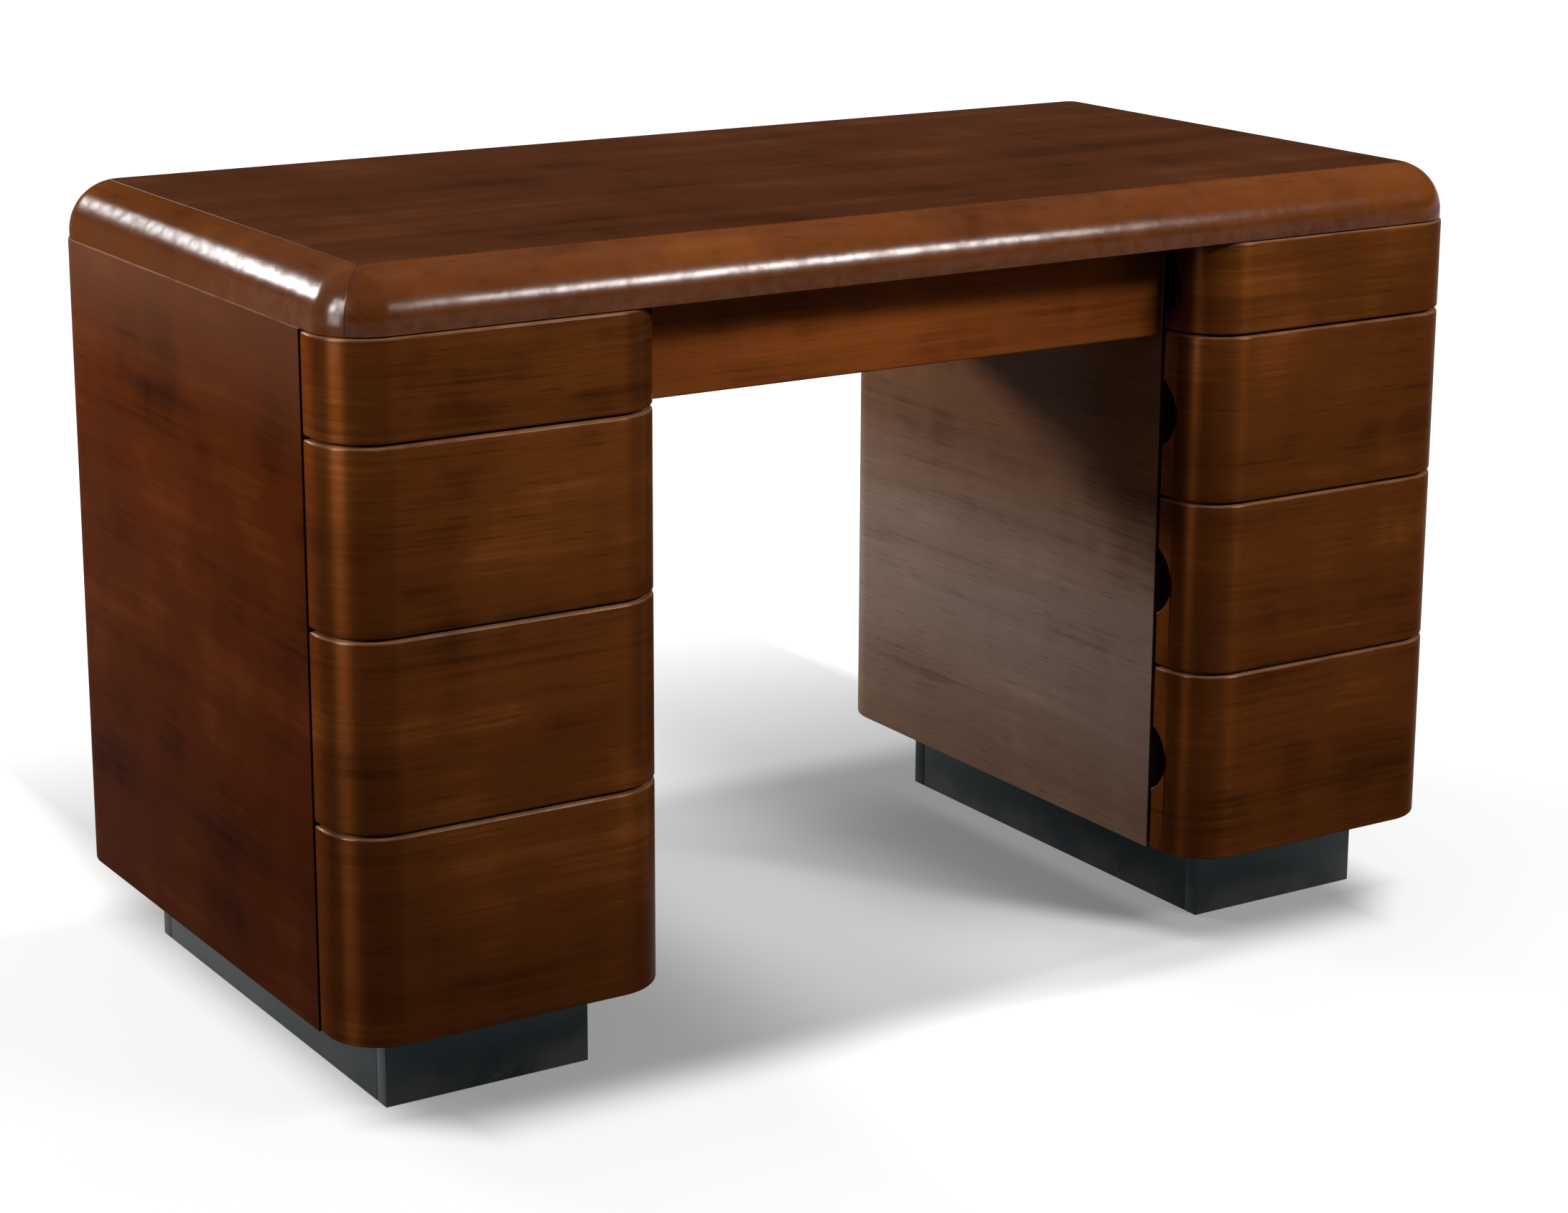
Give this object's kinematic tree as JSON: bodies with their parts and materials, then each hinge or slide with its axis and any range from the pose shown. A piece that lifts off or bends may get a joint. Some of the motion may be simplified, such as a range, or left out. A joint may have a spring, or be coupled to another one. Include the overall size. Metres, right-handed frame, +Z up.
{
  "type": "kneehole desk",
  "caption": "Kneehole desk in dark veneer: waterfall top, pedestals of drawers with bent wrap-round fronts and half-moon finger notches, a middle drawer and recessed plinths.",
  "frame": {"origin": "on the floor under the middle of the desk", "axes": "+X along the width to the sitter's right, +Y from the drawer fronts to the back, +Z up"},
  "size_m": [1.212, 0.626, 0.748],
  "materials": {
    "walnut_field": "satin lacquer",
    "walnut_edge": "gloss lacquer",
    "drawer_front_veneer": "satin lacquer",
    "panel_veneer": "satin lacquer",
    "drawer_lining": "sealed",
    "frame_wood": "bare",
    "plinth_paint": "satin paint"
  },
  "bodies": {
    "desk": {"top_field_panel": "walnut_field", "top_edge_front": "walnut_edge", "top_edge_right": "walnut_edge", "top_edge_back": "walnut_edge", "top_edge_left": "walnut_edge", "left_outer_side": "panel_veneer", "left_inner_side": "panel_veneer", "left_back_panel": "panel_veneer", "left_base_board": "frame_wood", "left_top_rails": "frame_wood", "left_runners": "frame_wood", "left_plinth_ends": "plinth_paint", "left_plinth_sides": "plinth_paint", "right_outer_side": "panel_veneer", "right_inner_side": "panel_veneer", "right_back_panel": "panel_veneer", "right_base_board": "frame_wood", "right_top_rails": "frame_wood", "right_runners": "frame_wood", "right_plinth_ends": "plinth_paint", "right_plinth_sides": "plinth_paint", "kneehole_back_rail": "panel_veneer", "centre_runners": "frame_wood", "drawer_stops": "frame_wood"},
    "left_drawer_1": {"left_drawer_1_front": "drawer_front_veneer", "left_drawer_1_sides": "drawer_lining", "left_drawer_1_back": "drawer_lining", "left_drawer_1_bottom": "drawer_lining"},
    "left_drawer_2": {"left_drawer_2_front": "drawer_front_veneer", "left_drawer_2_sides": "drawer_lining", "left_drawer_2_back": "drawer_lining", "left_drawer_2_bottom": "drawer_lining"},
    "left_drawer_3": {"left_drawer_3_front": "drawer_front_veneer", "left_drawer_3_sides": "drawer_lining", "left_drawer_3_back": "drawer_lining", "left_drawer_3_bottom": "drawer_lining"},
    "left_drawer_4": {"left_drawer_4_front": "drawer_front_veneer", "left_drawer_4_sides": "drawer_lining", "left_drawer_4_back": "drawer_lining", "left_drawer_4_bottom": "drawer_lining"},
    "right_drawer_1": {"right_drawer_1_front": "drawer_front_veneer", "right_drawer_1_sides": "drawer_lining", "right_drawer_1_back": "drawer_lining", "right_drawer_1_bottom": "drawer_lining"},
    "right_drawer_2": {"right_drawer_2_front": "drawer_front_veneer", "right_drawer_2_sides": "drawer_lining", "right_drawer_2_back": "drawer_lining", "right_drawer_2_bottom": "drawer_lining"},
    "right_drawer_3": {"right_drawer_3_front": "drawer_front_veneer", "right_drawer_3_sides": "drawer_lining", "right_drawer_3_back": "drawer_lining", "right_drawer_3_bottom": "drawer_lining"},
    "right_drawer_4": {"right_drawer_4_front": "drawer_front_veneer", "right_drawer_4_sides": "drawer_lining", "right_drawer_4_back": "drawer_lining", "right_drawer_4_bottom": "drawer_lining"},
    "centre_drawer": {"centre_drawer_front": "drawer_front_veneer", "centre_drawer_sides": "drawer_lining", "centre_drawer_back": "drawer_lining", "centre_drawer_bottom": "drawer_lining"}
  },
  "joints": [
    {"name": "left_drawer_1_slide", "type": "slide", "parent": "desk", "child": "left_drawer_1", "axis": [0, -1, 0], "range_m": [0, 0.34]},
    {"name": "left_drawer_2_slide", "type": "slide", "parent": "desk", "child": "left_drawer_2", "axis": [0, -1, 0], "range_m": [0, 0.34]},
    {"name": "left_drawer_3_slide", "type": "slide", "parent": "desk", "child": "left_drawer_3", "axis": [0, -1, 0], "range_m": [0, 0.34]},
    {"name": "left_drawer_4_slide", "type": "slide", "parent": "desk", "child": "left_drawer_4", "axis": [0, -1, 0], "range_m": [0, 0.34]},
    {"name": "right_drawer_1_slide", "type": "slide", "parent": "desk", "child": "right_drawer_1", "axis": [0, -1, 0], "range_m": [0, 0.34]},
    {"name": "right_drawer_2_slide", "type": "slide", "parent": "desk", "child": "right_drawer_2", "axis": [0, -1, 0], "range_m": [0, 0.34]},
    {"name": "right_drawer_3_slide", "type": "slide", "parent": "desk", "child": "right_drawer_3", "axis": [0, -1, 0], "range_m": [0, 0.34]},
    {"name": "right_drawer_4_slide", "type": "slide", "parent": "desk", "child": "right_drawer_4", "axis": [0, -1, 0], "range_m": [0, 0.34]},
    {"name": "centre_drawer_slide", "type": "slide", "parent": "desk", "child": "centre_drawer", "axis": [0, -1, 0], "range_m": [0, 0.32]}
  ]
}
